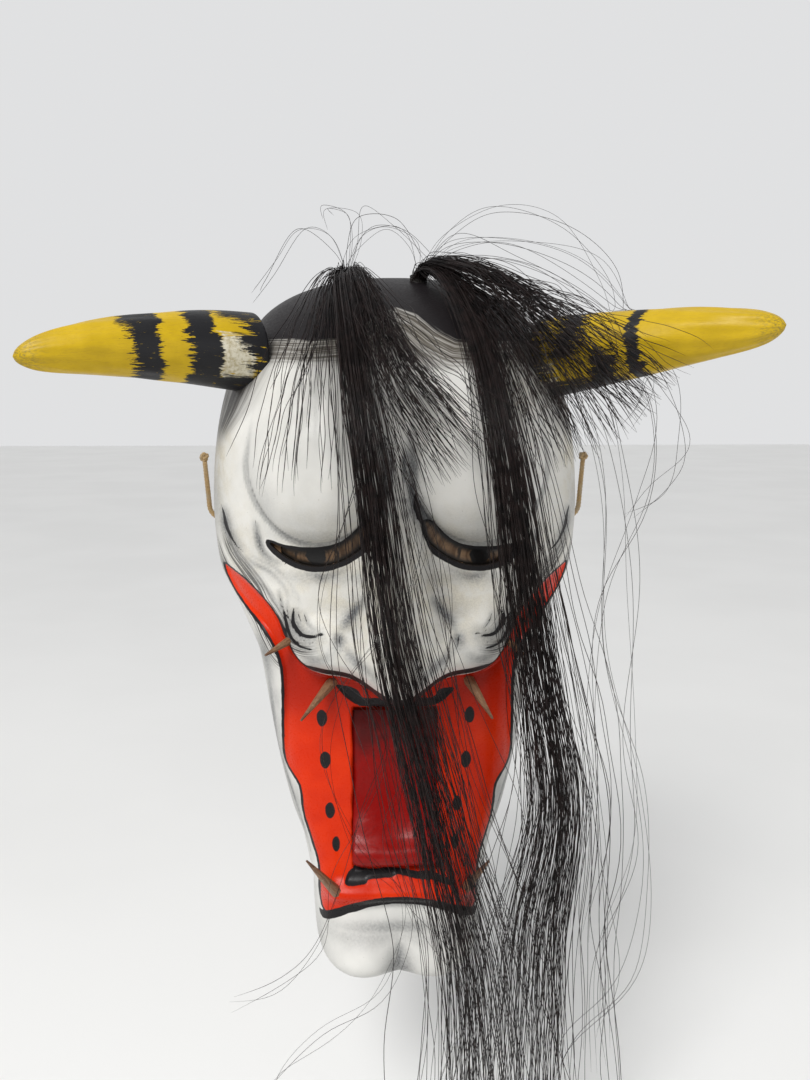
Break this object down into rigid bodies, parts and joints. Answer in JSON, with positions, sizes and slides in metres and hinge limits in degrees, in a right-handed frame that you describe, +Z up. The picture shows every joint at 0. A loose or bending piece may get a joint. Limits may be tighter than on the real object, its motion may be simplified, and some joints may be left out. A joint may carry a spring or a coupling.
{
  "type": "horned demon theatre mask",
  "caption": "Long painted paper demon mask with an open red mouth, wooden horns and fangs, horsehair locks and ear cords, worn on the face or hung on a wall.",
  "frame": {"origin": "on the back rim's plane, on the mask's centre line, level with the ear cord holes", "axes": "+X to the viewer's right, -Y out of the face towards the viewer, +Z up"},
  "size_m": [0.322, 0.145, 0.4693],
  "materials": {
    "gofun_paint": "white shell-white paint over pasted paper, satin, with black and vermilion painted areas",
    "red_lacquer": "dark crimson glossy lacquer over pasted paper",
    "horn_paint": "carved wood, yellow satin paint with brushed black bands",
    "bare_wood": "bare turned wood",
    "eye_brown": "brown and dull gold glossy paint on a thin plate",
    "fang_wood": "stained tan wood, satin",
    "binding_thread": "black binding thread",
    "horsehair": "dark brown-black horsehair, glossy strands",
    "twisted_cord": "golden tan twisted cord"
  },
  "bodies": {
    "root": {"face_shell": "gofun_paint", "tongue": "red_lacquer", "horn_left": "horn_paint", "horn_right": "horn_paint", "horn_dowel_left": "bare_wood", "horn_dowel_right": "bare_wood", "eye_plate_left": "eye_brown", "eye_plate_right": "eye_brown", "fang_upper_left": "fang_wood", "fang_upper_right": "fang_wood", "fang_lower_left": "fang_wood", "fang_lower_right": "fang_wood", "fang_corner_left": "fang_wood", "fang_corner_right": "fang_wood", "hair_binding_left": "binding_thread", "hair_binding_right": "binding_thread", "hair_left_main": "horsehair", "hair_left_fringe": "horsehair", "hair_left_strands": "horsehair", "hair_right_main": "horsehair", "hair_right_fringe": "horsehair", "hair_right_fan": "horsehair", "ear_cord_left": "twisted_cord", "ear_cord_right": "twisted_cord", "cord_knot_left": "twisted_cord", "cord_knot_right": "twisted_cord", "cord_end_left": "twisted_cord", "cord_end_right": "twisted_cord"}
  },
  "joints": []
}
